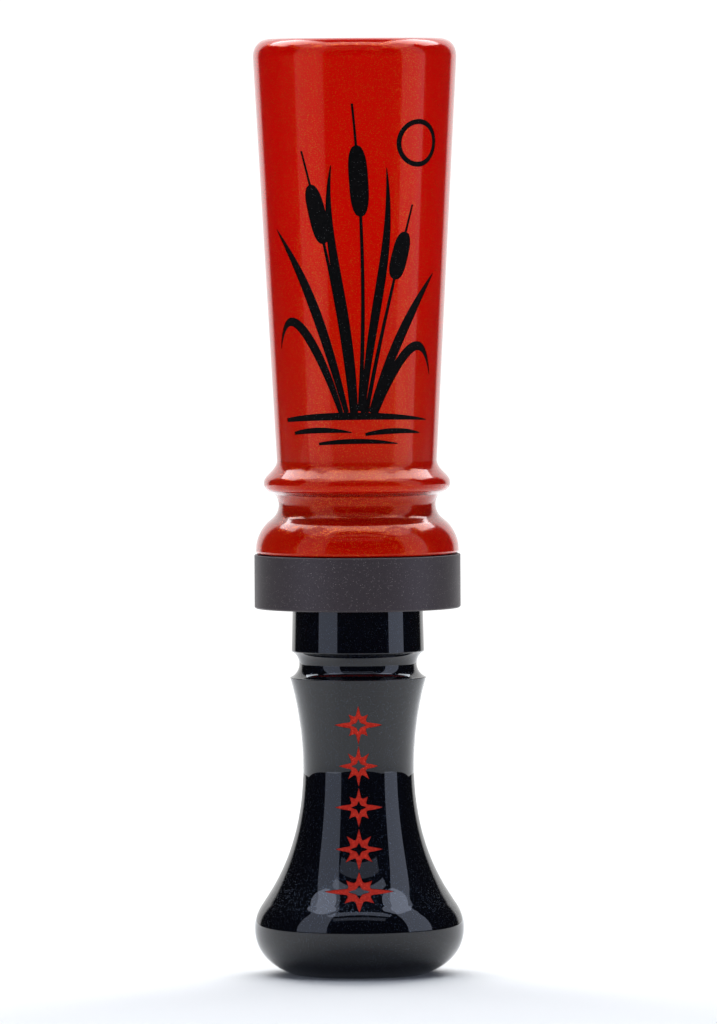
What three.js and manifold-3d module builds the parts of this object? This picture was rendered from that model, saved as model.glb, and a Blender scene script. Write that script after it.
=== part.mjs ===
// Duck call: a turned acrylic barrel on a turned acrylic insert, with a two-reed tone board inside.
// Millimetres, +Z up along the call's axis. The origin is the centre of the exhaust rim that it stands on.
// The reeds, and the side that is engraved on the finished call, face -Y.

import * as THREE from "three";
import { mergeVertices } from "three/addons/utils/BufferGeometryUtils.js";
import Module from "manifold-3d";

const wasm = await Module();
wasm.setup();

// Driving dimensions. Radii are from the call's axis, and heights are from the exhaust rim.
const OVERALL = 138;
const BORE_R = 7.94; // 5/8 in bore, straight through the barrel
const SEAT_Z = 54.1; // the barrel's foot, which sits down on the horn's shoulder
const FIT_GAP = 0.1; // between turned faces that touch on the real call
const TRIM_GAP = 0.3; // between the flat strips stacked in the notch

const BAND = { r: 15.2, wall: 1.5, height: 7.9, chamfer: 0.2 };

const BARREL = {
  footChamfer: 0.6,
  foot: { r: 14.97, round: 0.45 }, // where the bulb rolls under on to the band
  bulb: { z: 62.6, round: 5.8 },
  cove: { r: 11.58, round: 2.6, endDeg: 143 }, // the lanyard groove
  bead: { r: 13.75, z: 72.55, round: 1.35, startDeg: -62, endDeg: 40 },
  waist: { r: 11.8, z: 75.9 },
  mouth: { r: 14.99, z: 135.1, faceR: 12.3, lip: 1.4 },
};

const HORN = {
  rim: { innerR: 8.3, outerR: 9.7 }, // the flat ring that the call stands on
  bell: { r: 15.46, z: 6.9 },
  flare: { r: 13.93, z: 10.95 }, // where the bell's curve turns from convex to concave
  neck: { r: 8.2, z: 30.9 },
  lip: { r: 10.05, z: 43.85 }, // sharp edge under the groove
  groove: { r: 8.67, round: 2.12 },
  shoulder: { footR: 9.78, topR: 9.62 },
  boreR: 3.97, // 5/16 in
  bowlTop: 17, // where the exhaust bowl has narrowed to the bore
};

const BOARD = {
  shankR: 6.35, // 1/2 in, glued into the horn's socket
  shankZ: 41,
  collarR: 7.8,
  tipZ: 114,
  tipChamfer: 0.7,
  faceY: -1, // the flat that the reeds lie on
  relief: 1.5, // how far the face has curved away from the reeds at the tip
  channelR: 3.2,
  channelY: 0.8,
  channelTopZ: 103,
};

// The notch that holds the reeds and the wedge. It is taller at its mouth than at its foot.
const NOTCH = { footZ: 65, mouthZ: 76, footY: -5.4, mouthY: -6.4 };

const O_RING = { section: 1.5, outerR: 7.88, heights: { lower: 57, upper: 61.5 } };
const O_RING_GROOVE = { r: 6.3, width: 1.9 };

const REED = { thickness: 0.25, width: 14, footZ: 66, dogEar: 2.2 };
const REED_TIPS = { top: 112.5, bottom: 110.5 }; // the bottom reed is the shorter one

const WEDGE = { footZ: 66, topZ: 77.5, reedGap: 0.4, roofGap: 0.25, sideR: 7.4 };

const ROUND = 48; // sides of the turned pieces
const SMALL_ROUND = 28; // sides of the bored channel

const acrylicRed = material(0xb00808, 0.08);
const acrylicBlack = material(0x08090c, 0.08);
const acrylicSmoke = material(0x15161a, 0.12);
const anodised = material(0x39353a, 0.55, 0.7);
const rubber = material(0x151515, 0.7);
const mylar = material(0xdadfe2, 0.2);
const cork = material(0xb08350, 0.85);

function material(color, roughness, metalness = 0) {
  return new THREE.MeshStandardMaterial({ color, roughness, metalness });
}

// Outlines are lists of [radius, height].

function arc([r, z], radius, fromDeg, toDeg, steps) {
  const from = THREE.MathUtils.degToRad(fromDeg);
  const to = THREE.MathUtils.degToRad(toDeg);
  const curve = new THREE.EllipseCurve(r, z, radius, radius, from, to, toDeg < fromDeg);
  return curve.getPoints(steps).map((p) => [p.x, p.y]);
}

function bezier(start, handleA, handleB, end, steps) {
  const points = [start, handleA, handleB, end].map(([r, z]) => new THREE.Vector2(r, z));
  return new THREE.CubicBezierCurve(...points).getPoints(steps).map((p) => [p.x, p.y]);
}

// Drops each point that repeats the one before it, which is how two joined curves meet.
function joined(outline) {
  return outline.filter(([r, z], i) => {
    const [lastR, lastZ] = outline.at(i - 1);
    return Math.hypot(r - lastR, z - lastZ) > 1e-3;
  });
}

// Turns an outline round the Z axis. It closes on itself, unless it starts and ends on the axis.
function turned(outline, sides = ROUND) {
  const points = joined(outline).map(([r, z]) => new THREE.Vector2(r, z));
  if (points[0].x > 0) points.push(points[0].clone());
  return new THREE.LatheGeometry(points, sides).rotateX(Math.PI / 2);
}

// Extrudes an outline of [y, z] along X, to width, centred on the axis.
function extrudedAcross(shape, width) {
  const geometry = new THREE.ExtrudeGeometry(shape, { depth: width, bevelEnabled: false });
  geometry.translate(0, 0, -width / 2);
  return geometry.rotateX(Math.PI / 2).rotateZ(Math.PI / 2);
}

function solid(geometry) {
  const bare = geometry.index ? geometry.toNonIndexed() : geometry.clone();
  bare.deleteAttribute("normal");
  bare.deleteAttribute("uv");
  const merged = mergeVertices(bare, 1e-4);
  return new wasm.Manifold(
    new wasm.Mesh({
      numProp: 3,
      vertProperties: merged.getAttribute("position").array,
      triVerts: new Uint32Array(merged.index.array),
    }),
  );
}

function geometryOf(manifold) {
  const mesh = manifold.getMesh();
  const geometry = new THREE.BufferGeometry();
  geometry.setAttribute("position", new THREE.BufferAttribute(mesh.vertProperties, mesh.numProp));
  geometry.setIndex(new THREE.BufferAttribute(mesh.triVerts, 1));
  geometry.computeVertexNormals();
  return geometry;
}

const call = new THREE.Group();

function add(name, geometry, finish, parent = call) {
  const mesh = new THREE.Mesh(geometry, finish);
  mesh.name = name;
  parent.add(mesh);
  return mesh;
}

// Barrel: the red tube that is blown into. From the foot up: a seat for the band, a bulb, the lanyard cove, a bead,
// and a body that widens to the mouth.
function barrel() {
  const { foot, bulb, cove, bead, waist, mouth } = BARREL;
  const seatR = BAND.r - BAND.wall - FIT_GAP;
  const seatTop = SEAT_Z + BAND.height + FIT_GAP;
  const bulbCentre = [foot.r - bulb.round, bulb.z];
  const coveR = cove.r + cove.round;
  const coveZ = bulb.z + Math.sqrt((bulb.round + cove.round) ** 2 - (coveR - bulbCentre[0]) ** 2);
  const meetDeg = THREE.MathUtils.radToDeg(Math.atan2(coveZ - bulb.z, coveR - bulbCentre[0]));
  const beadTop = arc([bead.r - bead.round, bead.z], bead.round, bead.startDeg, bead.endDeg, 7);
  return turned([
    [BORE_R + BARREL.footChamfer, SEAT_Z],
    [seatR, SEAT_Z],
    [seatR, seatTop],
    ...arc([foot.r - foot.round, seatTop + foot.round], foot.round, -90, 0, 3),
    ...arc(bulbCentre, bulb.round, 0, meetDeg, 6),
    ...arc([coveR, coveZ], cove.round, 180 + meetDeg, cove.endDeg, 7),
    ...beadTop,
    ...bezier(beadTop.at(-1), [12.75, 74.23], [waist.r, 74.9], [waist.r, waist.z], 5),
    ...bezier([mouth.r, mouth.z], [15.06, 136.6], [14.3, OVERALL], [mouth.faceR, OVERALL], 6),
    ...arc([BORE_R + mouth.lip, OVERALL - mouth.lip], mouth.lip, 90, 180, 4),
    [BORE_R, SEAT_Z + BARREL.footChamfer],
  ]);
}

// Band: the anodised aluminium ring round the barrel's foot.
function band() {
  const inner = BAND.r - BAND.wall;
  const top = SEAT_Z + BAND.height;
  return turned([
    [inner, SEAT_Z],
    [BAND.r - BAND.chamfer, SEAT_Z],
    [BAND.r, SEAT_Z + BAND.chamfer],
    [BAND.r, top - BAND.chamfer / 2],
    [BAND.r - BAND.chamfer / 2, top],
    [inner, top],
  ]);
}

// Horn: the insert's outside, from the exhaust rim up to the shoulder under the barrel, with its bowl, bore and socket.
function horn() {
  const { rim, bell, flare, neck, lip, groove, shoulder, boreR, bowlTop } = HORN;
  const grooveCentreR = groove.r + groove.round;
  const lipDeg = 360 - THREE.MathUtils.radToDeg(Math.acos((lip.r - grooveCentreR) / groove.round));
  const shoulderDeg = THREE.MathUtils.radToDeg(Math.acos((shoulder.footR - grooveCentreR) / groove.round));
  const grooveCentreZ = lip.z + Math.sqrt(groove.round ** 2 - (grooveCentreR - lip.r) ** 2);
  const socketR = BOARD.shankR + FIT_GAP;
  const top = SEAT_Z - FIT_GAP;
  return turned([
    ...bezier([rim.outerR, 0], [12.6, 0.9], [15.5, 3], [bell.r, bell.z], 7),
    ...bezier([bell.r, bell.z], [bell.r, 8.6], [14.75, 9.75], [flare.r, flare.z], 4),
    ...bezier([flare.r, flare.z], [10.52, 15.95], [neck.r, 22.2], [neck.r, neck.z], 7),
    ...bezier([neck.r, neck.z], [neck.r, 35.5], [9.05, 40.5], [lip.r, lip.z], 5),
    ...arc([grooveCentreR, grooveCentreZ], groove.round, lipDeg, shoulderDeg, 7),
    [shoulder.topR, top],
    [socketR, top],
    [socketR, BOARD.shankZ - FIT_GAP],
    [boreR, BOARD.shankZ - FIT_GAP],
    [boreR, bowlTop],
    ...bezier([boreR, bowlTop], [boreR, 9.5], [6.4, 1.4], [rim.innerR, 0], 7),
  ]);
}

// The rod that the tone board is cut from: shank, collar with two O-ring grooves, and the rod up to the tip.
function boardRod() {
  const { shankR, shankZ, collarR, tipZ, tipChamfer } = BOARD;
  const grooveHalf = O_RING_GROOVE.width / 2;
  const grooves = Object.values(O_RING.heights).flatMap((z) => [
    [collarR, z - grooveHalf],
    [O_RING_GROOVE.r, z - grooveHalf],
    [O_RING_GROOVE.r, z + grooveHalf],
    [collarR, z + grooveHalf],
  ]);
  return turned([
    [0, shankZ],
    [shankR, shankZ],
    [shankR, SEAT_Z],
    [collarR, SEAT_Z],
    ...grooves,
    [collarR, tipZ - tipChamfer],
    [collarR - tipChamfer, tipZ],
    [0, tipZ],
  ]);
}

// What is cut away in front of the tone board: the notch, then everything before the curved face, past the tip.
function boardCut() {
  const clear = 2 * BOARD.collarR;
  const { faceY, relief, tipZ } = BOARD;
  const overTip = tipZ + 1;
  const shape = new THREE.Shape();
  shape.moveTo(faceY, NOTCH.footZ);
  shape.lineTo(faceY, NOTCH.mouthZ);
  shape.quadraticCurveTo(faceY, (NOTCH.mouthZ + tipZ) / 2, faceY + relief, overTip);
  shape.lineTo(-clear, overTip);
  shape.lineTo(-clear, NOTCH.mouthZ);
  shape.lineTo(NOTCH.mouthY, NOTCH.mouthZ);
  shape.lineTo(NOTCH.footY, NOTCH.footZ);
  shape.closePath();
  return extrudedAcross(shape, clear * 1.2);
}

// The sound channel: bored up from the shank, and open along the board's face.
function boardChannel() {
  const { channelR, channelY, channelTopZ, shankZ } = BOARD;
  const below = 6;
  const straight = channelTopZ - channelR - shankZ + below;
  const geometry = new THREE.CapsuleGeometry(channelR, straight, 4, SMALL_ROUND);
  geometry.rotateX(Math.PI / 2);
  return geometry.translate(0, channelY, channelTopZ - channelR - straight / 2);
}

function toneBoard() {
  const rod = solid(boardRod());
  return geometryOf(rod.subtract(solid(boardCut())).subtract(solid(boardChannel())));
}

function oRing() {
  const radius = O_RING.section / 2;
  return new THREE.TorusGeometry(O_RING.outerR - radius, radius, 10, ROUND);
}

// The reeds' front faces, counted outwards from the board.
const reedY = {
  bottom: BOARD.faceY - TRIM_GAP - REED.thickness,
  top: BOARD.faceY - 2 * (TRIM_GAP + REED.thickness),
};

// Reed: a straight strip of polyester film with its two tip corners cut off.
function reed(tipZ) {
  const half = REED.width / 2;
  const shape = new THREE.Shape();
  shape.moveTo(-half, REED.footZ);
  shape.lineTo(half, REED.footZ);
  shape.lineTo(half, tipZ - REED.dogEar);
  shape.lineTo(half - REED.dogEar, tipZ);
  shape.lineTo(REED.dogEar - half, tipZ);
  shape.lineTo(-half, tipZ - REED.dogEar);
  shape.closePath();
  const strip = new THREE.ExtrudeGeometry(shape, { depth: REED.thickness, bevelEnabled: false });
  return strip.rotateX(Math.PI / 2).translate(0, REED.thickness, 0);
}

// Wedge: the cork that jams the reeds down in the notch, trimmed round to clear the bore.
function wedge() {
  const nearY = reedY.top - WEDGE.reedGap;
  const slope = (NOTCH.mouthY - NOTCH.footY) / (NOTCH.mouthZ - NOTCH.footZ);
  const roofY = (z) => NOTCH.footY + slope * (z - NOTCH.footZ) + WEDGE.roofGap;
  const shape = new THREE.Shape();
  shape.moveTo(nearY, WEDGE.footZ);
  shape.lineTo(nearY, WEDGE.topZ);
  shape.lineTo(roofY(WEDGE.topZ), WEDGE.topZ);
  shape.lineTo(roofY(WEDGE.footZ), WEDGE.footZ);
  shape.closePath();
  const round = new THREE.CylinderGeometry(WEDGE.sideR, WEDGE.sideR, OVERALL, SMALL_ROUND);
  round.rotateX(Math.PI / 2).translate(0, 0, OVERALL / 2);
  return geometryOf(solid(extrudedAcross(shape, 2 * WEDGE.sideR)).intersect(solid(round)));
}

add("barrel", barrel(), acrylicRed);
add("barrel_band", band(), anodised);

const insert = new THREE.Group();
call.add(insert);
add("insert_horn", horn(), acrylicBlack, insert);
add("tone_board", toneBoard(), acrylicSmoke, insert);
for (const [place, z] of Object.entries(O_RING.heights)) {
  add(`o_ring_${place}`, oRing(), rubber, insert).position.z = z;
}
for (const [place, tipZ] of Object.entries(REED_TIPS)) {
  add(`reed_${place}`, reed(tipZ), mylar, insert).position.y = reedY[place];
}
add("wedge", wedge(), cork, insert);

export default call;
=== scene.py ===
"""Looks of a duck call: a red pearl acrylic barrel with an anodised band, on a black acrylic insert.

Everything is in metres in the CAD model's frame: +Z runs from the exhaust rim up to the mouth, and -Y is
the front. Sizes given in millimetres are multiplied by MM where they are used.
"""

import math
from collections import namedtuple

import bmesh
import bpy
import numpy as np
from mathutils import Matrix, Vector, kdtree, noise
from mathutils.geometry import delaunay_2d_cdt


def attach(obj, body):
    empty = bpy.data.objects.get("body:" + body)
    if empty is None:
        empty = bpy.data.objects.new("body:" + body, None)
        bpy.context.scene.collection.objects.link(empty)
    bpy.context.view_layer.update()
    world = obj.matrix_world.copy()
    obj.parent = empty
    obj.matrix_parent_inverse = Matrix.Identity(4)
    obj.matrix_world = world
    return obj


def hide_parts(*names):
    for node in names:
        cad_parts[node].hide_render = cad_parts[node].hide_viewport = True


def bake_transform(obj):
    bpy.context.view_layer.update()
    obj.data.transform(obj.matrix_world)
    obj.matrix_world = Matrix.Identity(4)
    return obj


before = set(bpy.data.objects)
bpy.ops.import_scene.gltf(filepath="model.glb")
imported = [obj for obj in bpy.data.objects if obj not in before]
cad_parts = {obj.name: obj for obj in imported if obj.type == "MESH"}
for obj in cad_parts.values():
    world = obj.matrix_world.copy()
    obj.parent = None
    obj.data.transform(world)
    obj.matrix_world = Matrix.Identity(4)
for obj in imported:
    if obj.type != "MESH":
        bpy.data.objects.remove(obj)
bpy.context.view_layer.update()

MM = 0.001
SIDES = 256  # flat sides round a turned piece
ENGRAVING = {"depth": 0.32 * MM, "fill_drop": 0.1 * MM, "fill_lift": 0.01 * MM, "row": 0.8 * MM}
MARGIN = {"up": 0.6, "across": 0.4, "clear": 0.14}  # millimetres that the patch keeps round the artwork
OUTER_FROM = 1.0 * MM  # a turned piece's outer skin is at least this much outside its smallest radius

Outline = namedtuple("Outline", "points normals")  # both are rows of (radius, height)


# ---- Camera, floor and light ----

CAMERA = {"place": (0.0002, -1.53, 0.128), "aim": (0.0002, 0, 0.0682), "lens_mm": 365, "roll_deg": -0.32}
FLOOR = {"front": -0.62, "back": 0.5, "side": 0.7, "fade": (0.25, 0.45)}
CEILING = 0.75
BACKDROP = {"bearings_deg": (40, 34), "heights_deg": (42, 50), "strength": 0.98, "elsewhere": 0.02}
WHITE = (1.0, 1.0, 1.0)
COOL = (0.87, 0.93, 1.0)
SLATE = (0.70, 0.78, 1.0)


def add_camera():
    camera = bpy.data.objects.new("camera", bpy.data.cameras.new("camera"))
    bpy.context.scene.collection.objects.link(camera)
    place, aim = Vector(CAMERA["place"]), Vector(CAMERA["aim"])
    facing = (aim - place).to_track_quat("-Z", "Y").to_matrix().to_4x4()
    roll = Matrix.Rotation(math.radians(CAMERA["roll_deg"]), 4, "Z")
    camera.matrix_world = Matrix.Translation(place) @ facing @ roll
    camera.data.lens = CAMERA["lens_mm"]
    camera.data.clip_end = 20
    bpy.context.scene.camera = camera
    bpy.context.scene.view_settings.view_transform = "Standard"


def add_floor():
    """A pale floor that fades out to the camera before its edges."""
    front, back, side = FLOOR["front"], FLOOR["back"], FLOOR["side"]
    corners = [(-side, front, 0), (side, front, 0), (side, back, 0), (-side, back, 0)]
    mesh = bpy.data.meshes.new("floor")
    mesh.from_pydata(corners, [], [(0, 1, 2, 3)])
    floor = bpy.data.objects.new("floor", mesh)
    bpy.context.scene.collection.objects.link(floor)
    material, shader = new_material("floor", base=(0.73, 0.735, 0.74), roughness=0.9)
    tree = material.node_tree
    away = add_node(tree, "ShaderNodeVectorMath", {0: place_of(tree)}, operation="LENGTH").outputs["Value"]
    far = map_range(tree, away, FLOOR["fade"], (0.0, 1.0))
    is_camera = add_node(tree, "ShaderNodeLightPath").outputs["Is Camera Ray"]
    unseen = math_node(tree, "MULTIPLY", far, is_camera)
    clear = add_node(tree, "ShaderNodeBsdfTransparent").outputs[0]
    mix = add_node(tree, "ShaderNodeMixShader", inputs={0: unseen, 1: shader.outputs[0], 2: clear})
    tree.links.new(mix.outputs[0], tree.nodes["Material Output"].inputs["Surface"])
    mesh.materials.append(material)


def area_light(name, place, aim, size, strength, colour=WHITE, glossy=True, diffuse=True):
    """A rectangular softbox, not seen by the camera. strength is its face's brightness, with white at 1."""
    data = bpy.data.lights.new(name, "AREA")
    data.shape = "RECTANGLE"
    data.size, data.size_y = size
    data.energy = strength * math.pi * size[0] * size[1]
    data.color = colour
    light = bpy.data.objects.new(name, data)
    bpy.context.scene.collection.objects.link(light)
    light.location = place
    light.rotation_euler = (Vector(aim) - Vector(place)).to_track_quat("-Z", "Y").to_euler()
    light.visible_camera = False
    light.visible_glossy = glossy
    light.visible_diffuse = diffuse
    return data


def upright_box(name, bearings_deg, distance, heights, strength, **seen):
    """An upright softbox that spans two bearings, counted from the front and positive to the right."""
    mid, half = math.radians(sum(bearings_deg) / 2), math.radians((bearings_deg[1] - bearings_deg[0]) / 2)
    middle = sum(heights) / 2
    place = (distance * math.sin(mid), -distance * math.cos(mid), middle)
    size = (2 * distance * math.tan(half), heights[1] - heights[0])
    area_light(name, place, (0, 0, middle), size, strength, SLATE, **seen)


def ceiling_box(name, across, along, strength, colour, shape="RECTANGLE"):
    """A softbox that faces down at CEILING height, over a range of X and of Y."""
    place = (sum(across) / 2, sum(along) / 2)
    size = (abs(across[1] - across[0]), along[1] - along[0])
    area_light(name, (*place, CEILING), (*place, 0), size, strength, colour, diffuse=False).shape = shape


def add_lights():
    """The mirror-like reflections come from the boxes up to front_bar, and the even light from the rest."""
    upright_box("strip_left", (-72, -36), 0.42, (0.012, 0.9), 1.2, diffuse=False)
    upright_box("strip_right", (55, 86), 0.42, (0.012, 0.9), 1.55, diffuse=False)
    ceiling_box("top_box", (-0.3, 0.3), (-0.275, 0.055), 5.0, COOL)
    for side in (-1, 1):
        ceiling_box("wing_inner", (0.185 * side, 0.52 * side), (0.055, 0.8), 5.0, COOL)
        ceiling_box("wing_outer", (0.52 * side, 0.78 * side), (0.2, 0.8), 5.0, COOL)
        ceiling_box("wing_front", (0.22 * side, 0.68 * side), (-0.4, 0.12), 1.6, SLATE, "ELLIPSE")
    ceiling_box("bridge", (-0.5, 0.5), (-0.56, -0.45), 1.3, SLATE)
    area_light("front_bar", (0, -0.6, 0.58), (0, 0, 0.07), (0.8, 0.13), 0.6, SLATE, diffuse=False)
    area_light("top_fill", (0, -0.1, 1.3), (0, 0, 0), (1.2, 1.2), 1.9, COOL, glossy=False)
    area_light("back_box", (0, 0.95, 0.9), (0, 0, 0), (1.8, 0.9), 5.9, glossy=False)
    upright_box("low_fill_left", (-95, -35), 1.2, (0, 0.3), 3.5, glossy=False)
    upright_box("low_fill_front", (-35, 35), 1.2, (0, 0.3), 2.9, glossy=False)
    upright_box("low_fill_right", (35, 95), 1.2, (0, 0.3), 3.5, glossy=False)


def add_world():
    """White low behind the call, and dark elsewhere, but plain white to the camera."""
    world = bpy.data.worlds.new("studio")
    bpy.context.scene.world = world
    world.use_nodes = True
    tree = world.node_tree
    tree.nodes.clear()
    direction = add_node(tree, "ShaderNodeTexCoord").outputs["Generated"]
    flat = vector_node(tree, "MULTIPLY", {0: direction, 1: (1, 1, 0)})
    bearing = vector_node(tree, "NORMALIZE", {0: flat})
    behind = add_node(tree, "ShaderNodeSeparateXYZ", {0: bearing}).outputs["Y"]
    sides = [math.cos(math.radians(angle)) for angle in BACKDROP["bearings_deg"]]
    wide = map_range(tree, behind, sides, (0.0, BACKDROP["strength"]))
    height = add_node(tree, "ShaderNodeSeparateXYZ", {0: direction}).outputs["Z"]
    tops = [math.sin(math.radians(angle)) for angle in BACKDROP["heights_deg"]]
    backdrop = math_node(tree, "MULTIPLY_ADD", wide, map_range(tree, height, tops, (1.0, 0.0)))
    backdrop.node.inputs[2].default_value = BACKDROP["elsewhere"]
    lit = add_node(tree, "ShaderNodeBackground", {"Color": backdrop})
    seen = add_node(tree, "ShaderNodeBackground", {"Color": (1, 1, 1, 1), "Strength": 1.1})
    is_camera = add_node(tree, "ShaderNodeLightPath").outputs["Is Camera Ray"]
    mix = add_node(tree, "ShaderNodeMixShader", {0: is_camera, 1: lit.outputs[0], 2: seen.outputs[0]})
    output = add_node(tree, "ShaderNodeOutputWorld")
    tree.links.new(mix.outputs[0], output.inputs["Surface"])


# ---- Node helpers ----


def add_node(tree, kind, inputs=None, **settings):
    """A node with its settings made, and each input linked to a socket or set to a value."""
    node = tree.nodes.new(kind)
    for key, value in settings.items():
        setattr(node, key, value)
    for key, value in (inputs or {}).items():
        if isinstance(value, bpy.types.NodeSocket):
            tree.links.new(value, node.inputs[key])
        else:
            node.inputs[key].default_value = value
    return node


def map_range(tree, value, source, target):
    inputs = {"Value": value, "From Min": source[0], "From Max": source[1]}
    inputs |= {"To Min": target[0], "To Max": target[1]}
    return add_node(tree, "ShaderNodeMapRange", inputs).outputs["Result"]


def math_node(tree, operation, a, b=0.5):
    return add_node(tree, "ShaderNodeMath", {0: a, 1: b}, operation=operation).outputs[0]


def vector_node(tree, operation, inputs):
    return add_node(tree, "ShaderNodeVectorMath", inputs, operation=operation).outputs[0]


def mix_colour(tree, share, a, b):
    node = add_node(tree, "ShaderNodeMix", data_type="RGBA")
    sockets = {"Factor_Float": share, "A_Color": a, "B_Color": b}
    for socket in node.inputs:
        value = sockets.get(socket.identifier)
        if isinstance(value, bpy.types.NodeSocket):
            tree.links.new(value, socket)
        elif value is not None:
            socket.default_value = value
    return next(s for s in node.outputs if s.identifier == "Result_Color")


def new_material(name, base=None, **settings):
    """A Principled material with plain values on its shader. Names use _ for spaces, as in coat_weight."""
    material = bpy.data.materials.new(name)
    material["slot"] = name
    material.use_nodes = True
    shader = material.node_tree.nodes["Principled BSDF"]
    if base:
        shader.inputs["Base Color"].default_value = (*base, 1)
    for key, value in settings.items():
        names = {"ior": "IOR", "coat_ior": "Coat IOR", "specular_ior_level": "Specular IOR Level"}
        shader.inputs[names.get(key, key.replace("_", " ").title())].default_value = value
    return material, shader


def place_of(tree, stretch=(1, 1, 1)):
    """The point being shaded, in metres in the piece's own frame."""
    where = add_node(tree, "ShaderNodeTexCoord").outputs["Object"]
    return vector_node(tree, "MULTIPLY", {0: where, 1: stretch})


def noise_at(tree, where, size, detail=3.0, roughness=0.5):
    inputs = {"Vector": where, "Scale": 1 / size, "Detail": detail, "Roughness": roughness}
    return add_node(tree, "ShaderNodeTexNoise", inputs).outputs["Fac"]


def bump(tree, shader, height, distance, strength):
    node = add_node(tree, "ShaderNodeBump", {"Height": height, "Distance": distance, "Strength": strength})
    tree.links.new(node.outputs[0], shader.inputs["Normal"])


def flakes(tree, size, share, tilt):
    """Mica flakes: a mask that is 1 on a flake, a normal tilted by each flake, and its random numbers."""
    cells = add_node(tree, "ShaderNodeTexVoronoi", {"Vector": place_of(tree), "Scale": 1 / size})
    lot = add_node(tree, "ShaderNodeSeparateColor", {0: cells.outputs["Color"]})
    chosen = math_node(tree, "GREATER_THAN", lot.outputs[2], 1 - share)
    core = math_node(tree, "LESS_THAN", cells.outputs["Distance"], 0.45)
    mask = math_node(tree, "MULTIPLY", chosen, core)
    centred = vector_node(tree, "SUBTRACT", {0: cells.outputs["Color"], 1: (0.5, 0.5, 0.5)})
    amount = math_node(tree, "MULTIPLY", mask, tilt)
    lean = vector_node(tree, "SCALE", {0: centred, "Scale": amount})
    facing = add_node(tree, "ShaderNodeNewGeometry").outputs["Normal"]
    tilted = vector_node(tree, "ADD", {0: facing, 1: lean})
    return mask, vector_node(tree, "NORMALIZE", {0: tilted}), lot


# ---- Materials ----


def barrel_acrylic():
    """Polished red acrylic with painted shade, darker towards the bottom and in its hollows, with orange
    pearl flakes under its clear skin.
    """
    material, shader = new_material(
        "barrel_acrylic",
        roughness=0.13,
        specular_tint=(1.0, 0.3, 0.08, 1),
        coat_roughness=0.012,
        coat_ior=1.49,
    )
    tree = material.node_tree
    cloud = noise_at(tree, place_of(tree, (1, 1, 0.35)), 9 * MM, detail=4)
    swirl = map_range(tree, cloud, (0.35, 0.7), (0.0, 1.0))
    tall = mix_colour(tree, swirl, (0.66, 0.0, 0.0, 1), (0.62, 0.0, 0.0, 1))
    # Painted shade: below 108 mm the red is mixed toward a darker red, darkest at 70 mm and below.
    painted_shade_low = mix_colour(tree, swirl, (0.43, 0.0, 0.0, 1), (0.48, 0.008, 0.0, 1))
    height = add_node(tree, "ShaderNodeSeparateXYZ", {0: place_of(tree)}).outputs["Z"]
    body = mix_colour(tree, map_range(tree, height, (70 * MM, 108 * MM), (0.0, 1.0)), painted_shade_low, tall)
    # Painted shade: where ambient occlusion finds hollows and creases close by, the red turns near black.
    near = {"Distance": 6 * MM}
    painted_hollow_shade = add_node(tree, "ShaderNodeAmbientOcclusion", near, samples=16, only_local=True)
    depth = map_range(tree, painted_hollow_shade.outputs["AO"], (0.5, 0.95), (0.0, 1.0))
    clear = mix_colour(tree, depth, (0.03, 0.0, 0.0, 1), body)
    mask, normal, lot = flakes(tree, 0.09 * MM, 0.35, 0.16)
    orange = map_range(tree, lot.outputs[0], (0.4, 0.9), (0.0, 1.0))
    pearl = mix_colour(tree, orange, (0.60, 0.0, 0.0, 1), (1.0, 0.22, 0.02, 1))
    tree.links.new(mix_colour(tree, mask, clear, pearl), shader.inputs["Base Color"])
    bright = math_node(tree, "MULTIPLY", mask, orange)
    tree.links.new(math_node(tree, "MULTIPLY", bright, 0.7), shader.inputs["Metallic"])
    facing = add_node(tree, "ShaderNodeLayerWeight", {"Blend": 0.5}).outputs["Facing"]
    tree.links.new(map_range(tree, facing, (0.2, 0.6), (0.13, 0.6)), shader.inputs["Coat Weight"])
    tree.links.new(normal, shader.inputs["Normal"])
    return material


def horn_acrylic():
    """Polished black acrylic with sparse silver and blue flakes."""
    material, shader = new_material(
        "horn_acrylic",
        roughness=0.3,
        specular_ior_level=0.0,
        coat_weight=1.0,
        coat_roughness=0.015,
        coat_ior=1.55,
    )
    tree = material.node_tree
    mask, normal, lot = flakes(tree, 0.1 * MM, 0.1, 0.25)
    glint = mix_colour(tree, lot.outputs[0], (0.008, 0.013, 0.028, 1), (0.06, 0.08, 0.11, 1))
    tree.links.new(mix_colour(tree, mask, (0.0012, 0.0016, 0.0035, 1), glint), shader.inputs["Base Color"])
    tree.links.new(mask, shader.inputs["Metallic"])
    tree.links.new(normal, shader.inputs["Normal"])
    return material


def tone_board_acrylic():
    """Smoke-black acrylic, machined round and lightly buffed."""
    material, shader = new_material(
        "tone_board_acrylic", base=(0.01, 0.011, 0.013), coat_weight=0.6, coat_roughness=0.08
    )
    tree = material.node_tree
    turning = noise_at(tree, place_of(tree, (0.05, 0.05, 1)), 0.12 * MM, detail=2)
    tree.links.new(map_range(tree, turning, (0.3, 0.7), (0.22, 0.34)), shader.inputs["Roughness"])
    bump(tree, shader, turning, 0.004 * MM, 0.5)
    return material


def band_anodised():
    """Bead-blasted aluminium, anodised near black, with fine bright specks."""
    material, shader = new_material(
        "band_anodised", roughness=0.5, metallic=0.6, coat_weight=0.24, coat_roughness=0.4
    )
    tree = material.node_tree
    grain = noise_at(tree, place_of(tree), 0.11 * MM, detail=2)
    mask, _, lot = flakes(tree, 0.12 * MM, 0.07, 0.0)
    tone = map_range(tree, grain, (0.3, 0.7), (0.0, 1.0))
    shade = mix_colour(tree, tone, (0.030, 0.022, 0.025, 1), (0.052, 0.039, 0.043, 1))
    speck = mix_colour(tree, lot.outputs[0], (0.07, 0.06, 0.065, 1), (0.24, 0.20, 0.19, 1))
    tree.links.new(mix_colour(tree, mask, shade, speck), shader.inputs["Base Color"])
    bump(tree, shader, grain, 0.02 * MM, 0.6)
    return material


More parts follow.
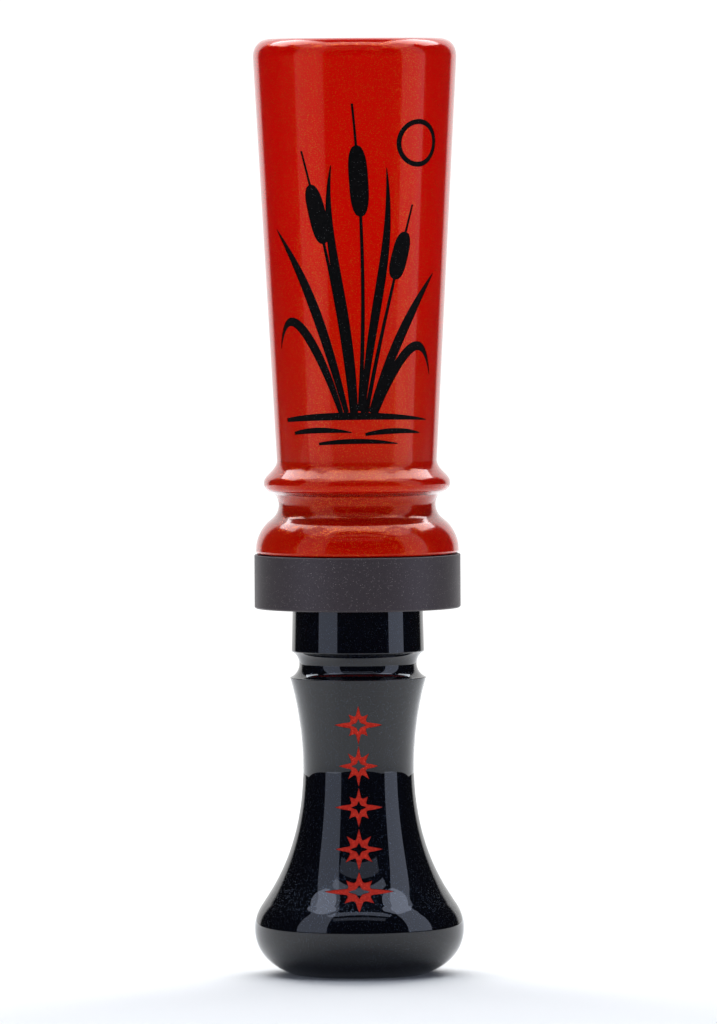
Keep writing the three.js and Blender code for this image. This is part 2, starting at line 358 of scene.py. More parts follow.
def o_ring_rubber():
    """Satin nitrile rubber."""
    material, shader = new_material("o_ring_rubber", base=(0.014, 0.014, 0.015), roughness=0.42)
    tree = material.node_tree
    skin = noise_at(tree, place_of(tree), 0.2 * MM, detail=4)
    tree.links.new(map_range(tree, skin, (0.3, 0.7), (0.36, 0.55)), shader.inputs["Roughness"])
    bump(tree, shader, skin, 0.01 * MM, 0.5)
    return material


def reed_film():
    """Milky clear polyester film, faintly rolled along its length."""
    material, shader = new_material(
        "reed_film", base=(0.86, 0.89, 0.9), roughness=0.16, ior=1.6, transmission_weight=0.55
    )
    tree = material.node_tree
    rolled = noise_at(tree, place_of(tree, (1, 1, 0.05)), 0.25 * MM, detail=2)
    tree.links.new(map_range(tree, rolled, (0.3, 0.7), (0.12, 0.26)), shader.inputs["Roughness"])
    bump(tree, shader, rolled, 0.003 * MM, 0.5)
    return material


def wedge_cork():
    """Fine-grained cork, with faint uneven cells, dark joints between some of them, and open pores."""
    material, shader = new_material("wedge_cork", roughness=0.88)
    tree = material.node_tree
    where = place_of(tree)
    wander = add_node(tree, "ShaderNodeTexNoise", {"Vector": where, "Scale": 1 / (0.9 * MM), "Detail": 3.0})
    shift = vector_node(tree, "SCALE", {0: wander.outputs["Color"], "Scale": 1.1 * MM})
    bent = vector_node(tree, "ADD", {0: where, 1: shift})
    granules = {"Vector": bent, "Scale": 1 / (0.75 * MM)}
    cells = add_node(tree, "ShaderNodeTexVoronoi", granules).outputs["Color"]
    lot = add_node(tree, "ShaderNodeSeparateColor", {0: cells}).outputs[0]
    edge = add_node(tree, "ShaderNodeTexVoronoi", granules, feature="DISTANCE_TO_EDGE").outputs["Distance"]
    grain = noise_at(tree, where, 0.3 * MM, detail=7, roughness=0.7)
    uneven = math_node(tree, "MULTIPLY", lot, 0.28)
    shade = math_node(tree, "ADD", uneven, math_node(tree, "MULTIPLY", grain, 0.8))
    light = map_range(tree, shade, (0.25, 0.85), (0.0, 1.0))
    tan = mix_colour(tree, light, (0.28, 0.14, 0.06, 1), (0.62, 0.39, 0.2, 1))
    joint = math_node(tree, "MULTIPLY", map_range(tree, edge, (0.0, 0.09), (0.6, 0.0)), lot)
    pit = math_node(tree, "MAXIMUM", joint, map_range(tree, grain, (0.3, 0.38), (1.0, 0.0)))
    tree.links.new(mix_colour(tree, pit, tan, (0.07, 0.03, 0.015, 1)), shader.inputs["Base Color"])
    bump(tree, shader, math_node(tree, "SUBTRACT", grain, pit), 0.08 * MM, 0.7)
    return material


def enamel(name, dark, light, roughness):
    """Enamel wiped into an engraving, with a slightly orange-peel skin and pale specks in it."""
    material, shader = new_material(name, roughness=roughness, specular_ior_level=0.04)
    tree = material.node_tree
    skin = noise_at(tree, place_of(tree), 0.35 * MM, detail=5, roughness=0.7)
    pale_specks, _, _ = flakes(tree, 0.1 * MM, 0.02, 0.0)
    worn = mix_colour(tree, map_range(tree, skin, (0.45, 0.75), (0.0, 1.0)), (*dark, 1), (*light, 1))
    pale = tuple(min(1.0, 0.06 + 1.6 * c) for c in light)
    tree.links.new(mix_colour(tree, pale_specks, worn, (*pale, 1)), shader.inputs["Base Color"])
    bump(tree, shader, skin, 0.05 * MM, 0.8)
    return material


# ---- Outlines of turned pieces ----


def cad_outline(node):
    """A turned CAD node's closed outline, anticlockwise, as rows of (radius, height) from its +X side."""
    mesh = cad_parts[node].data
    key = {}
    for vertex in mesh.vertices:
        x, y, z = vertex.co
        if x > 0 and abs(y) < 1e-3 * MM:
            key[vertex.index] = (round(x / MM, 4), round(z / MM, 4))
    beside = {}
    for edge in mesh.edges:
        a, b = (key.get(i) for i in edge.vertices)
        if a and b and a != b:
            beside.setdefault(a, set()).add(b)
            beside.setdefault(b, set()).add(a)
    walk = [min(beside)]
    last = None
    while len(walk) < len(beside):
        last, here = walk[-1], sorted(beside[walk[-1]] - {last})[0]
        walk.append(here)
    points = np.array(walk) * MM
    r, z = points.T
    area = np.sum(r * np.roll(z, -1) - np.roll(r, -1) * z)
    return points if area > 0 else points[::-1]


def turn_between(a, b):
    """The angle between two directions."""
    return abs(math.atan2(a[0] * b[1] - a[1] * b[0], a @ b))


def tangents(points, corner_deg=32.0, straight=2.2):
    """Each chord's length, each point's direction on arriving and on leaving, and whether it is a corner.

    A chord much longer than its neighbour is a straight stretch, and its end points take its direction.
    """
    count = len(points)
    chords = np.roll(points, -1, axis=0) - points
    lengths = np.linalg.norm(chords, axis=1)
    along = chords / lengths[:, None]
    arrive, corner = np.zeros_like(points), np.zeros(count, bool)
    for i in range(count):
        a, b, before, after = along[i - 1], along[i], lengths[i - 1], lengths[i]
        corner[i] = turn_between(a, b) > math.radians(corner_deg)
        if before > straight * after:
            arrive[i] = a
        elif after > straight * before:
            arrive[i] = b
        else:
            arrive[i] = a * after + b * before
            arrive[i] /= np.linalg.norm(arrive[i])
    leave = arrive.copy()
    for i in np.flatnonzero(corner):
        ahead = (i + 1) % count
        leave[i] = along[i] if corner[ahead] else mirrored(arrive[ahead], along[i])
    for i in np.flatnonzero(corner):
        arrive[i] = along[i - 1] if corner[i - 1] else mirrored(leave[i - 1], along[i - 1])
    return lengths, arrive, leave, corner


def mirrored(direction, chord):
    """The direction at a chord's far end that makes it a symmetric arc."""
    return 2 * (direction @ chord) * chord - direction


def smoothed(points, step=0.32 * MM, fillet=0.1 * MM):
    """Runs a smooth curve through a faceted outline and rounds its corners slightly.

    A fillet takes at most 0.4 of the chord on either side, and the curve's points near it are left out.
    """
    lengths, arrive, leave, corner = tangents(points)
    count = len(points)
    places, runs = [], []
    for i in range(count):
        j = (i + 1) % count
        start, end, length = points[i], points[j], lengths[i]
        cut_i = min(fillet, 0.4 * length, 0.4 * lengths[i - 1]) if corner[i] else 0.0
        cut_j = min(fillet, 0.4 * length, 0.4 * lengths[j]) if corner[j] else 0.0
        if corner[i]:
            for t in np.linspace(0, 1, 6):
                back, on = start - cut_i * arrive[i], start + cut_i * leave[i]
                places.append((1 - t) ** 2 * back + 2 * t * (1 - t) * start + t**2 * on)
                runs.append((1 - t) * arrive[i] + t * leave[i])
        bent = max(turn_between(leave[i], arrive[j]), turn_between(leave[i], (end - start) / length))
        parts = max(1, math.ceil(length / step)) if bent > 1e-3 else 1
        for t in np.arange(parts) / parts:
            place = hermite(start, end, leave[i] * length, arrive[j] * length, t)
            from_start, to_end = np.linalg.norm(place - start), np.linalg.norm(place - end)
            if (corner[i] and from_start < 1.3 * cut_i) or (corner[j] and to_end < 1.3 * cut_j):
                continue
            places.append(place)
            runs.append(hermite_slope(start, end, leave[i] * length, arrive[j] * length, t))
    places, runs = np.array(places), np.array(runs)
    places[:, 1] = np.maximum(places[:, 1], 0)
    runs /= np.linalg.norm(runs, axis=1)[:, None]
    return Outline(places, np.stack([runs[:, 1], -runs[:, 0]], axis=1))


def hermite(a, b, m, n, t):
    """The point at t on a curve from a to b, with directions m and n there."""
    leaving = (2 * t**3 - 3 * t**2 + 1) * a + (t**3 - 2 * t**2 + t) * m
    return leaving + (3 * t**2 - 2 * t**3) * b + (t**3 - t**2) * n


def hermite_slope(a, b, m, n, t):
    """The direction of that curve at t."""
    return (6 * t**2 - 6 * t) * (a - b) + (3 * t**2 - 4 * t + 1) * m + (3 * t**2 - 2 * t) * n


def with_rows(outline, low, high, min_radius, spacing):
    """Splits long outer chords between two heights, so that an engraving there has rows to lie on."""
    places, normals = [], []
    count = len(outline.points)
    for i in range(count):
        a, b = outline.points[i], outline.points[(i + 1) % count]
        na, nb = outline.normals[i], outline.normals[(i + 1) % count]
        outer = min(a[0], b[0]) > min_radius and b[1] > low and a[1] < high
        parts = max(1, math.ceil(np.linalg.norm(b - a) / spacing)) if outer else 1
        for t in np.arange(parts) / parts:
            places.append(a + t * (b - a))
            normals.append(na + t * (nb - na))
    normals = np.array(normals)
    return Outline(np.array(places), normals / np.linalg.norm(normals, axis=1)[:, None])


# ---- Meshes ----


def new_mesh(name, vertices, faces):
    mesh = bpy.data.meshes.new(name)
    mesh.from_pydata(vertices, [], faces)
    return mesh


def add_piece(mesh, material, body=None, node=None):
    """Puts a mesh in the scene, on its body and in place of its CAD node. Its slot is the material's."""
    piece = bpy.data.objects.new(mesh.name, mesh)
    bpy.context.scene.collection.objects.link(piece)
    mesh.materials.append(material)
    if body:
        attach(piece, body)
    if node:
        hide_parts(node)
    return piece


def round_about(r, z, bearing):
    """Points at a radius, height and bearing. The bearing is 0 at the front, and grows to the right."""
    x, y, z = np.broadcast_arrays(r * np.sin(bearing), -r * np.cos(bearing), z)
    return np.stack([x, y, z], axis=-1)


def lathe(outline, sides):
    """Vertices, their normals, and quads of an outline turned round the axis."""
    bearings = 2 * math.pi * np.arange(sides) / sides
    (r, z), (nr, nz) = outline.points.T, outline.normals.T
    vertices = round_about(r[:, None], z[:, None], bearings[None, :]).reshape(-1, 3)
    normals = round_about(nr[:, None], nz[:, None], bearings[None, :]).reshape(-1, 3)
    rows = len(r)
    quads = {}
    for i in range(rows):
        k = (i + 1) % rows
        for j in range(sides):
            m = (j + 1) % sides
            quads[i, j] = (i * sides + j, i * sides + m, k * sides + m, k * sides + j)
    return vertices, normals, quads


def turned(name, outline, material, body, node, sides=SIDES):
    """A turned piece, shaded by its outline's own normals."""
    vertices, normals, quads = lathe(outline, sides)
    mesh = new_mesh(name, vertices.tolist(), list(quads.values()))
    mesh.shade_smooth()
    mesh.normals_split_custom_set_from_vertices(normals.tolist())
    return add_piece(mesh, material, body, node)


def rod(name, corners, fillet, sides, centre_y=0.0):
    """A closed rod turned from corners of (radius, height) in millimetres, with both ends on its axis."""
    points = smoothed(np.array(corners) * MM, fillet=fillet).points
    points = points[points[:, 0] > 0.02 * MM]
    bearings = 2 * math.pi * np.arange(sides) / sides
    vertices = round_about(points[:, :1], points[:, 1:], bearings[None, :]).reshape(-1, 3)
    vertices[:, 1] += centre_y * MM
    last = (len(points) - 1) * sides
    faces = [list(range(sides))[::-1], list(range(last, last + sides))]
    for row in range(0, last, sides):
        for j in range(sides):
            m = (j + 1) % sides
            faces.append([row + j, row + m, row + sides + m, row + sides + j])
    return new_mesh(name, vertices.tolist(), faces)


def extruded_across(name, outline, half_width):
    """A prism along X of an anticlockwise outline of (y, z), in millimetres."""
    count = len(outline)
    vertices = [(x * MM, y * MM, z * MM) for x in (-half_width, half_width) for y, z in outline]
    faces = [list(range(count))[::-1], list(range(count, 2 * count))]
    faces += [[k, (k + 1) % count, count + (k + 1) % count, count + k] for k in range(count)]
    return new_mesh(name, vertices, faces)


def modified(mesh, *modifiers):
    """A mesh after Blender's modifiers, each given as its type and its settings."""
    name = mesh.name
    holder = bpy.data.objects.new(name, mesh)
    bpy.context.scene.collection.objects.link(holder)
    for kind, settings in modifiers:
        modifier = holder.modifiers.new(kind.lower(), kind)
        for key, value in settings.items():
            setattr(modifier, key, value)
    graph = bpy.context.evaluated_depsgraph_get()
    result = bpy.data.meshes.new_from_object(holder.evaluated_get(graph), depsgraph=graph)
    bpy.data.objects.remove(holder)
    bpy.data.meshes.remove(mesh)
    result.name = name
    return result


def cut(mesh, cutter_mesh):
    """Cuts one closed mesh out of another, and joins up the flat faces that the cut leaves in pieces."""
    cutter = bpy.data.objects.new("cutter", cutter_mesh)
    bpy.context.scene.collection.objects.link(cutter)
    result = modified(mesh, ("BOOLEAN", {"operation": "DIFFERENCE", "solver": "EXACT", "object": cutter}))
    bpy.data.objects.remove(cutter)
    bpy.data.meshes.remove(cutter_mesh)
    work = bmesh.new()
    work.from_mesh(result)
    bmesh.ops.remove_doubles(work, verts=work.verts, dist=0.01 * MM)
    bmesh.ops.dissolve_limit(work, angle_limit=math.radians(0.3), verts=work.verts, edges=work.edges)
    bmesh.ops.dissolve_degenerate(work, edges=work.edges, dist=0.01 * MM)
    work.to_mesh(result)
    work.free()
    return result


def soft_edged(mesh, width, angle_deg):
    """Rounds a machined piece's sharp edges and shades it smooth."""
    mesh.shade_smooth()
    bevel = {
        "width": width,
        "segments": 2,
        "limit_method": "ANGLE",
        "angle_limit": math.radians(angle_deg),
        "miter_outer": "MITER_ARC",
        "use_clamp_overlap": False,
    }
    return modified(mesh, ("BEVEL", bevel), ("WEIGHTED_NORMAL", {"keep_sharp": False}))


# ---- Engraving ----
# Artwork is drawn flat, in millimetres: across is the arc length from the front, and up is the height.


def signed_area(polygon):
    x, y = polygon.T
    return 0.5 * np.sum(x * np.roll(y, -1) - np.roll(x, -1) * y)


def anticlockwise(polygon):
    return polygon if signed_area(polygon) > 0 else polygon[::-1]


def curve_points(controls, count):
    """Points on a Bezier curve with any number of control points."""
    t = np.linspace(0, 1, count)[:, None, None]
    layers = np.broadcast_to(np.array(controls, float), (count, len(controls), 2))
    while layers.shape[1] > 1:
        layers = layers[:, :-1] * (1 - t) + layers[:, 1:] * t
    return layers[:, 0]


def stroke(controls, half_width, count=40, span=(0.0, 1.0)):
    """A pen stroke's outline along a curve. half_width gives half its width at each share of its length."""
    line = curve_points(controls, 201)
    share = np.linspace(span[0], span[1], count)
    line = np.stack([np.interp(share, np.linspace(0, 1, 201), line[:, k]) for k in range(2)], axis=1)
    along = np.gradient(line, axis=0)
    along /= np.linalg.norm(along, axis=1)[:, None]
    side = np.stack([-along[:, 1], along[:, 0]], axis=1)
    width = np.array([half_width(u) for u in np.linspace(0, 1, count)])[:, None]
    return anticlockwise(np.vstack([line + side * width, (line - side * width)[::-1]]))


def leaf_width(widest):
    return lambda u: 0.06 + widest * (math.sin(math.pi * min(1.0, 0.12 + 0.88 * u)) ** 0.8)


def stem_width(widest):
    return lambda u: widest * (1 - 0.55 * u)


def pod_width(widest):
    return lambda u: 0.05 + widest * (1 - abs(2 * u - 1) ** 3.2) ** 0.5


def disc(centre, radius, count=64):
    """A round outline."""
    turn = np.linspace(0, 2 * math.pi, count, endpoint=False)
    return np.stack([centre[0] + radius * np.cos(turn), centre[1] + radius * np.sin(turn)], axis=1)


def cattail(foot, bend, tip):
    """A tapered stem and the pod near its tip."""
    controls = [foot, bend, tip]
    return [
        stroke(controls, stem_width(0.36), 60),
        stroke(controls, pod_width(1.3), 36, span=(0.66, 0.88)),
    ]


def marsh_emblem():
    """Three cattails among leaves, with a low sun behind them and ripples at their feet."""
    shapes = []
    for foot, bend, tip in (
        ((0.5, 83.4), (1.9, 103), (-0.4, 128.4)),
        ((-0.7, 83.2), (-2.6, 101), (-7.8, 121.5)),
        ((1.6, 83.2), (4.2, 97), (8.6, 113.6)),
    ):
        shapes += cattail(foot, bend, tip)
    for controls, widest in (
        (((-1.6, 83.2), (-5.5, 97), (-8, 104), (-13.4, 110)), 0.75),
        (((-2.4, 82.9), (-6.5, 95), (-11.5, 101), (-13.9, 92.5)), 0.7),
        (((2.3, 83.2), (6.0, 93), (9.0, 99), (13.5, 103.5)), 0.75),
        (((3.0, 82.9), (6.5, 92), (11.2, 97), (13.6, 88.6)), 0.7),
        (((-0.1, 83.2), (-1.2, 100), (-5.2, 108), (-3.4, 119.4)), 0.65),
        (((1.0, 83.2), (2.6, 100), (5.6, 106), (4.4, 119.0)), 0.65),
    ):
        shapes.append(stroke(controls, leaf_width(widest), 60))
    for start, middle, end, widest in (
        ((-13.2, 82.0), (0.0, 83.4), (13.2, 82.0), 0.5),
        ((-11.4, 80.1), (-6.0, 81.0), (-0.8, 80.3), 0.36),
        ((1.4, 80.0), (6.4, 80.9), (11.6, 80.1), 0.36),
        ((-6.4, 78.6), (0.4, 79.4), (7.0, 78.6), 0.32),
    ):
        shapes.append(stroke((start, middle, end), leaf_width(widest), 50))
    sun = (9.3, 122.6)
    shapes.append(disc(sun, 3.5))
    return shapes, [disc(sun, 2.75)]


def star(centre, reach, valley, count=14):
    """A star with hollow-sided points. reach lists the points' lengths, anticlockwise from the right."""
    polygon = []
    wedge = math.pi / len(reach)
    for k, length in enumerate(reach):
        for step in range(-count, count):
            u = abs(step) / count
            r = valley + (length - valley) * (1 - u) ** 2.4
            turn = 2 * wedge * k + wedge * step / count
            polygon.append((centre[0] + r * math.cos(turn), centre[1] + r * math.sin(turn)))
    return np.array(polygon)


def horn_ornament():
    """Five thorny stars, one above the other, with a small lozenge left standing in each."""
    stars, lozenges = [], []
    for k, height in enumerate(np.linspace(37.2, 13.0, 5)):
        wide, tall, thorn = (4.2, 2.9, 2.3) if k % 2 == 0 else (3.6, 3.0, 2.7)
        stars.append(star((0, height), [wide, thorn, tall, thorn, wide, thorn, tall, thorn], 1.45))
        lozenges.append(star((0, height), [1.25, 0.95, 1.25, 0.95], 0.5, 6))
    return stars, lozenges


# An engraved piece's lathe vertices, their normals, and its quads outside the patch. Then the patch's own
# points, their normals, its triangles, which of them are cut away, and each point's lathe vertex or None.
Patch = namedtuple("Patch", "vertices normals quads surface outward triangles is_cut lathe_vertex")


def engraved(name, outline, artwork, material, enamel_material, body, node):
    """A turned piece with artwork cut into its front, and a piece of its own for the enamel in the cut."""
    patch = engraving_patch(outline, artwork)
    add_piece(engraved_skin(name, patch), material, body, node)
    add_piece(enamel_fill(name + "_enamel", patch), enamel_material, body)


def engraving_patch(outline, artwork):
    """Triangles on the front of a turned piece that follow the edges of the artwork laid on it."""
    solids, holes = artwork
    every = np.vstack(solids)
    low, high = every[:, 1].min() - MARGIN["up"], every[:, 1].max() + MARGIN["up"]
    inner = outline.points[:, 0].min() + OUTER_FROM
    outline = with_rows(outline, low * MM, high * MM, inner, ENGRAVING["row"])
    vertices, normals, quads = lathe(outline, SIDES)
    r, z = outline.points.T
    rows = [i for i in range(len(r)) if r[i] > inner and low * MM <= z[i] <= high * MM]
    radius = float(np.mean(r[rows]))
    pitch = 2 * math.pi / SIDES
    columns = math.ceil((np.abs(every[:, 0]).max() + MARGIN["across"]) * MM / radius / pitch)

    # The patch laid flat: the lathe's own points, then the artwork's.
    grid = {}
    for i in rows:
        for j in range(-columns, columns + 1):
            grid[i, j] = (j * pitch * radius / MM, z[i] / MM)
    points, source = clear_points(grid, every, rows, columns)
    index = {key: k for k, key in enumerate(source)}
    faces = [[index[key] for key in patch_border(rows, columns)]]
    for polygon in (*solids, *holes):
        faces.append(list(range(len(points), len(points) + len(polygon))))
        points += [tuple(p) for p in anticlockwise(polygon)]
    laid = delaunay_2d_cdt([Vector(p) for p in points], [], faces, 1, 1e-5, True)
    flat, _, triangles, origin, _, inside = laid

    # The patch wrapped back round the piece.
    across, up = np.array([p[:] for p in flat]).T * MM
    order = np.array(rows)
    bearings = across / radius
    radii = np.interp(up, z[order], r[order])
    lean = [np.interp(up, z[order], outline.normals[order, k]) for k in range(2)]
    surface = round_about(radii, up, bearings)
    outward = round_about(lean[0], lean[1], bearings)
    outward /= np.linalg.norm(outward, axis=1)[:, None]
    solid_count = len(solids)
    is_cut = [any(0 < k <= solid_count for k in owners) and max(owners) <= solid_count for owners in inside]
    under = {(i, j % SIDES) for i in rows[:-1] for j in range(-columns, columns)}
    beyond = [quad for key, quad in quads.items() if key not in under]
    lathe_vertex = []
    for originals in origin:
        known = [source[o] for o in originals if o < len(source)]
        lathe_vertex.append(known[0] if known else None)
    return Patch(vertices, normals, beyond, surface, outward, triangles, is_cut, lathe_vertex)


def clear_points(grid, every, rows, columns):
    """The grid's border, and its points that stand clear of the artwork's, each with its lathe vertex."""
    near = kdtree.KDTree(len(every))
    for k, (across, up) in enumerate(every):
        near.insert((across, up, 0), k)
    near.balance()
    points, source = [], []
    for (i, j), flat in grid.items():
        edge = i in (rows[0], rows[-1]) or abs(j) == columns
        if edge or near.find((*flat, 0))[2] > MARGIN["clear"]:
            points.append(flat)
            source.append(i * SIDES + j % SIDES)
    return points, source


def patch_border(rows, columns):
    """The lathe vertices round the patch, in order."""
    border = [rows[0] * SIDES + j % SIDES for j in range(-columns, columns + 1)]
    border += [i * SIDES + columns % SIDES for i in rows[1:-1]]
    border += [rows[-1] * SIDES + j % SIDES for j in range(columns, -columns - 1, -1)]
    border += [i * SIDES + (-columns) % SIDES for i in reversed(rows[1:-1])]
    return border


def cut_points(patch):
    """The patch's points inside or on the edge of what is cut away."""
    cut_triangles = [triangle for triangle, is_cut in zip(patch.triangles, patch.is_cut) if is_cut]
    return sorted({v for triangle in cut_triangles for v in triangle})


def cut_rim(patch):
    """The edges round what is cut away, each as a pair of points."""
    edges = {}
    for triangle, is_cut in zip(patch.triangles, patch.is_cut):
        if is_cut:
            edges.update(dict.fromkeys(zip(triangle, (*triangle[1:], triangle[0]))))
    return [(a, b) for a, b in edges if (b, a) not in edges]


def engraved_skin(name, patch):
    """The turned piece, with its engraving's floor sunk below the surface and walls down to it."""
    in_cut = cut_points(patch)
    added = [k for k, at in enumerate(patch.lathe_vertex) if at is None]
    first_added = len(patch.vertices)
    first_sunk = first_added + len(added)
    top = dict(enumerate(patch.lathe_vertex))
    top.update({v: first_added + k for k, v in enumerate(added)})
    sunk = {v: first_sunk + k for k, v in enumerate(in_cut)}
    faces = list(patch.quads)
    for triangle, is_cut in zip(patch.triangles, patch.is_cut):
        level = sunk if is_cut else top
        faces.append([level[v] for v in triangle])
    kinds = ["skin"] * len(faces)
    for a, b in cut_rim(patch):
        faces.append([sunk[b], sunk[a], top[a], top[b]])
        kinds.append("wall")
    floor = patch.surface[in_cut] - ENGRAVING["depth"] * patch.outward[in_cut]
    vertices = np.vstack([patch.vertices, patch.surface[added], floor])
    normals = np.vstack([patch.normals, patch.outward[added], patch.outward[in_cut]])
    return mesh_with_normals(name, vertices, normals, faces, kinds)


def enamel_fill(name, patch):
    """The shapes that are cut away, from just above the cut's floor to just below the surface."""
    in_cut = cut_points(patch)
    count = len(in_cut)
    position = {v: k for k, v in enumerate(in_cut)}
    base, outward = patch.surface[in_cut], patch.outward[in_cut]
    top = base - ENGRAVING["fill_drop"] * outward
    bottom = base - (ENGRAVING["depth"] - ENGRAVING["fill_lift"]) * outward
    faces, kinds = [], []
    for triangle, is_cut in zip(patch.triangles, patch.is_cut):
        if is_cut:
            faces.append([position[v] for v in triangle])
            faces.append([count + position[v] for v in reversed(triangle)])
            kinds += ["skin", "wall"]
    for a, b in cut_rim(patch):
        faces.append([position[b], position[a], count + position[a], count + position[b]])
        kinds.append("wall")
    return mesh_with_normals(name, np.vstack([top, bottom]), np.vstack([outward, -outward]), faces, kinds)


def mesh_with_normals(name, vertices, normals, faces, kinds):
    """A mesh whose skin faces are shaded by the given vertex normals, and whose wall faces are flat."""
    used = sorted({v for face in faces for v in face})
    renumber = {v: k for k, v in enumerate(used)}
    mesh = new_mesh(name, vertices[used].tolist(), [[renumber[v] for v in face] for face in faces])
    normals = normals[used]
    loops, beside = [], {}
    for polygon, kind in zip(mesh.polygons, kinds):
        polygon.use_smooth = kind == "skin"
        loops += [normals[v] if kind == "skin" else polygon.normal for v in polygon.vertices]
        for key in polygon.edge_keys:
            beside.setdefault(key, set()).add(kind)
    for edge in mesh.edges:
        edge.use_edge_sharp = "wall" in beside[edge.key]
    mesh.normals_split_custom_set([tuple(n) for n in loops])
    return mesh


# ---- Pieces ----

# Sizes in millimetres, as in the CAD model.
BOARD = {"shank_r": 6.35, "shank_z": 41, "collar_r": 7.8, "collar_z": 54.1, "tip_z": 114, "tip_chamfer": 0.7}
BOARD_FACE = {"y": -1.0, "relief": 1.5, "foot_z": 65, "mouth_z": 76, "over_tip": 115}
NOTCH_ROOF = {"foot_y": -5.4, "mouth_y": -6.4}
CHANNEL = {"r": 3.2, "y": 0.8, "below": 35, "top_z": 103}
O_RING = {"section_r": 0.75, "centre_r": 7.13, "ridge": 0.02, "lower": 57, "upper": 61.5}
O_RING_GROOVE = {"r": 6.3, "half": 0.95}
REED = {"half": 7.0, "thickness": 0.25, "foot_z": 66, "dog_ear": 2.2, "edge": 0.06, "step": 0.4, "fine": 3}
REEDS = {
    "top": {"y": -2.1, "tip_z": 112.5, "dimple": 0.14},
    "bottom": {"y": -1.55, "tip_z": 110.5, "dimple": 0.0},
}
DIMPLE = {"z": 93, "r": 0.9}
CORK = {"voxel": 0.18, "swell": 0.12, "swells_per_mm": 0.7}
CORK_PORES = {"depth": 0.3, "per_mm": 1.9, "level": 0.32}


def build_barrel():
    """The barrel with its black motif, and its band."""
    outline = smoothed(cad_outline("barrel"))
    black = enamel("engraving_black", (0.0015, 0.0015, 0.0015), (0.006, 0.005, 0.005), 0.5)
    engraved("barrel_turned", outline, marsh_emblem(), barrel_acrylic(), black, "barrel", "barrel")
    band = smoothed(cad_outline("barrel_band"), fillet=0.08 * MM)
    turned("band_turned", band, band_anodised(), "barrel", "barrel_band")


def build_horn():
    """The horn with its red motif."""
    outline = smoothed(cad_outline("insert_horn"), fillet=0.12 * MM)
    red = enamel("engraving_red", (0.42, 0.018, 0.010), (0.66, 0.045, 0.022), 0.55)
    engraved("horn_turned", outline, horn_ornament(), horn_acrylic(), red, "insert", "insert_horn")


def build_tone_board():
    """The rod with its two O-ring grooves, less what is in front of its face and less its channel."""
    r, shank_r = BOARD["collar_r"], BOARD["shank_r"]
    corners = [(0, BOARD["shank_z"]), (shank_r, BOARD["shank_z"]), (shank_r, BOARD["collar_z"])]
    corners.append((r, BOARD["collar_z"]))
    for place in ("lower", "upper"):
        low, high = O_RING[place] - O_RING_GROOVE["half"], O_RING[place] + O_RING_GROOVE["half"]
        corners += [(r, low), (O_RING_GROOVE["r"], low), (O_RING_GROOVE["r"], high), (r, high)]
    chamfer = BOARD["tip_chamfer"]
    corners += [(r, BOARD["tip_z"] - chamfer), (r - chamfer, BOARD["tip_z"]), (0, BOARD["tip_z"])]
    board = rod("tone_board_cut", corners, 0.15 * MM, 128)

    face, over = BOARD_FACE["y"], BOARD_FACE["over_tip"]
    mouth, clear = BOARD_FACE["mouth_z"], 2 * r
    bent_at = (face, (mouth + BOARD["tip_z"]) / 2)
    rise = curve_points([(face, mouth), bent_at, (face + BOARD_FACE["relief"], over)], 49)
    outline = [(face, BOARD_FACE["foot_z"]), *rise.tolist(), (-clear, over), (-clear, mouth)]
    outline += [(NOTCH_ROOF["mouth_y"], mouth), (NOTCH_ROOF["foot_y"], BOARD_FACE["foot_z"])]
    board = cut(board, extruded_across("front_cut", outline, 1.2 * r))

    bend = np.radians(np.linspace(0, 90, 13))
    dome_z = CHANNEL["top_z"] + CHANNEL["r"] * (np.sin(bend) - 1)
    dome = np.stack([CHANNEL["r"] * np.cos(bend), dome_z], axis=1)
    corners = [(0, CHANNEL["below"]), (CHANNEL["r"], CHANNEL["below"]), *dome.tolist()]
    board = cut(board, rod("channel", corners, 0.1 * MM, 96, CHANNEL["y"]))
    add_piece(soft_edged(board, 0.12 * MM, 50), tone_board_acrylic(), "insert", "tone_board")


def build_o_rings():
    """Moulded rings, each with a faint parting ridge round its outside and its inside."""
    rubber = o_ring_rubber()
    turn = np.linspace(0, 2 * math.pi, 48, endpoint=False)
    ridge = O_RING["ridge"] * np.clip(1 - np.abs(np.sin(turn)) / 0.2, 0, 1)
    section = O_RING["section_r"] + ridge
    normals = np.stack([np.cos(turn), np.sin(turn)], axis=1)
    for place in ("lower", "upper"):
        points = np.array([O_RING["centre_r"], O_RING[place]]) + section[:, None] * normals
        node = "o_ring_" + place
        turned(node + "_moulded", Outline(points * MM, normals), rubber, "seals", node, sides=128)


def reed_half_width(z, tip_z):
    """Half the reed's width at a height, with its tip corners cut at 45 degrees and slightly rounded."""
    soft = 0.35
    past = z - (tip_z - REED["dog_ear"])
    cut_back = 0.5 * (past + math.sqrt(past * past + soft * soft))
    return REED["half"] - cut_back


def reed_section(z, half, y, inset):
    """The reed's section at a height as a closed loop: left to right along its front, then back behind."""
    edge = REED["edge"] + inset
    across = np.linspace(edge - half, half - edge, 49)
    front = [(x, y + inset, z) for x in across]
    right = [(half - inset, y + edge, z), (half - inset, y + REED["thickness"] - edge, z)]
    back = [(x, y + REED["thickness"] - inset, z) for x in across[::-1]]
    left = [(inset - half, y + REED["thickness"] - edge, z), (inset - half, y + edge, z)]
    return front + right + back + left


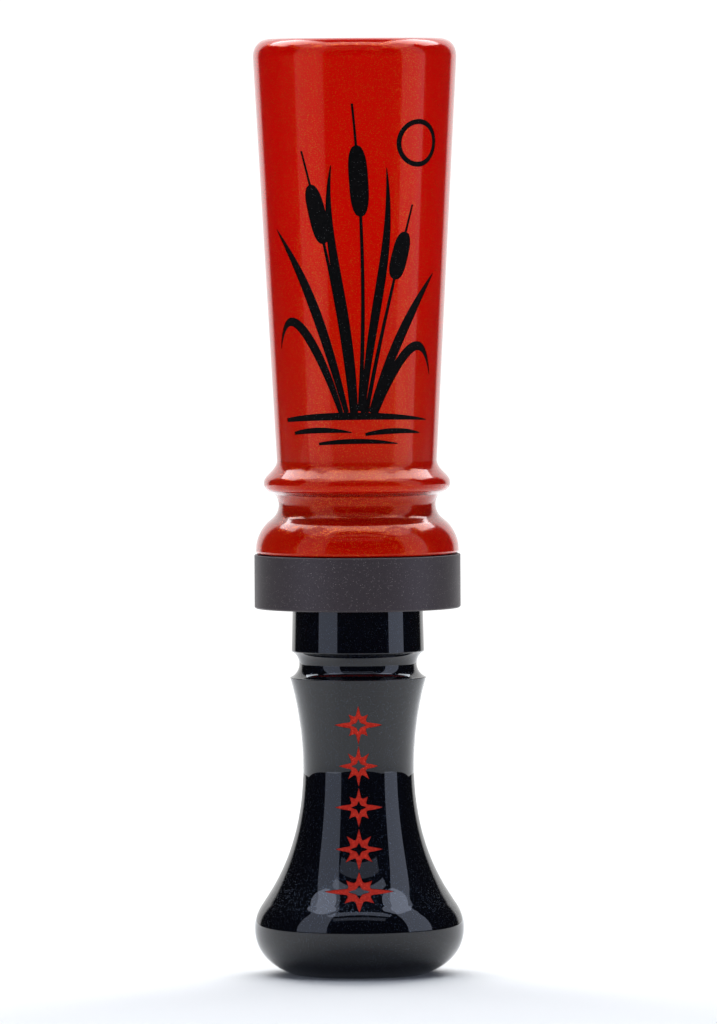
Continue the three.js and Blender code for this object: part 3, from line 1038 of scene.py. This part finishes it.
def build_reeds():
    """Strips of film with softened edges. The top one has a dimple that keeps it off the bottom one."""
    film = reed_film()
    for place, reed in REEDS.items():
        foot, tip, edge = REED["foot_z"], reed["tip_z"], REED["edge"]
        rows = [foot, foot + edge, *np.arange(foot + REED["step"], tip - REED["fine"], REED["step"])]
        rows += [*np.linspace(tip - REED["fine"], tip - edge, 16), tip]
        loops = []
        for z in rows:
            inset = edge if z in (foot, tip) else 0.0
            loops.append(reed_section(z, reed_half_width(z, tip), reed["y"], inset))
        size = len(loops[0])
        points = np.array(loops).reshape(-1, 3)
        away = np.hypot(points[:, 0], points[:, 2] - DIMPLE["z"]) / DIMPLE["r"]
        points[:, 1] += reed["dimple"] * np.clip(1 - away**2, 0, 1) ** 2
        faces = [list(range(size))[::-1], [(len(loops) - 1) * size + k for k in range(size)]]
        for row in range(len(loops) - 1):
            for k in range(size):
                m = (k + 1) % size
                faces.append([row * size + k, row * size + m, (row + 1) * size + m, (row + 1) * size + k])
        mesh = new_mesh("reed_" + place + "_film", (points * MM).tolist(), faces)
        mesh.shade_smooth()
        mesh = modified(mesh, ("WEIGHTED_NORMAL", {"keep_sharp": False}))
        piece = add_piece(mesh, film, node="reed_" + place)
        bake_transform(piece)


def build_wedge():
    """Cork with softened edges, a slightly uneven skin and open pores."""
    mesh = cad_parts["wedge"].data.copy()
    mesh.name = "wedge_cork"
    mesh.materials.clear()
    remesh = {"mode": "VOXEL", "voxel_size": CORK["voxel"] * MM, "use_smooth_shade": True}
    mesh = modified(mesh, ("REMESH", remesh), ("SMOOTH", {"factor": 0.5, "iterations": 3}))
    for vertex in mesh.vertices:
        place = vertex.co / MM
        swell = CORK["swell"] * (noise.fractal(place * CORK["swells_per_mm"], 1.0, 2.0, 3) - 0.5)
        spot = noise.noise(place * CORK_PORES["per_mm"]) + CORK_PORES["level"]
        vertex.co += vertex.normal * min(0.0, swell + CORK_PORES["depth"] * min(0.0, spot)) * MM
    add_piece(mesh, wedge_cork(), "wedge", "wedge")


add_camera()
add_floor()
add_lights()
add_world()
build_barrel()
build_horn()
build_tone_board()
build_o_rings()
build_reeds()
build_wedge()
